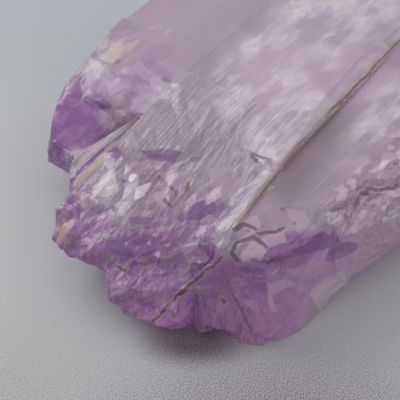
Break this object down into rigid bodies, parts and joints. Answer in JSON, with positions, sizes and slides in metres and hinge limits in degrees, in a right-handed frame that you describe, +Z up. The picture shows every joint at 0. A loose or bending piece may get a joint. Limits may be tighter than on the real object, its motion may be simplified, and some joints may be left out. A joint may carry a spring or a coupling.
{
  "type": "kunzite crystal",
  "caption": "Lath-shaped violet crystal lying flat, with a stepped striated top, a ledged broken end and a pale, milky body.",
  "frame": {"origin": "middle of the outer box in plan, on the surface that the crystal lies on", "axes": "+X along the crystal's length, away from its broken violet end; +Z up, square to the plates"},
  "size_m": [0.066, 0.0506, 0.0173],
  "materials": {
    "kunzite": "satin"
  },
  "bodies": {
    "root": {"kunzite_crystal": "kunzite"}
  },
  "joints": []
}
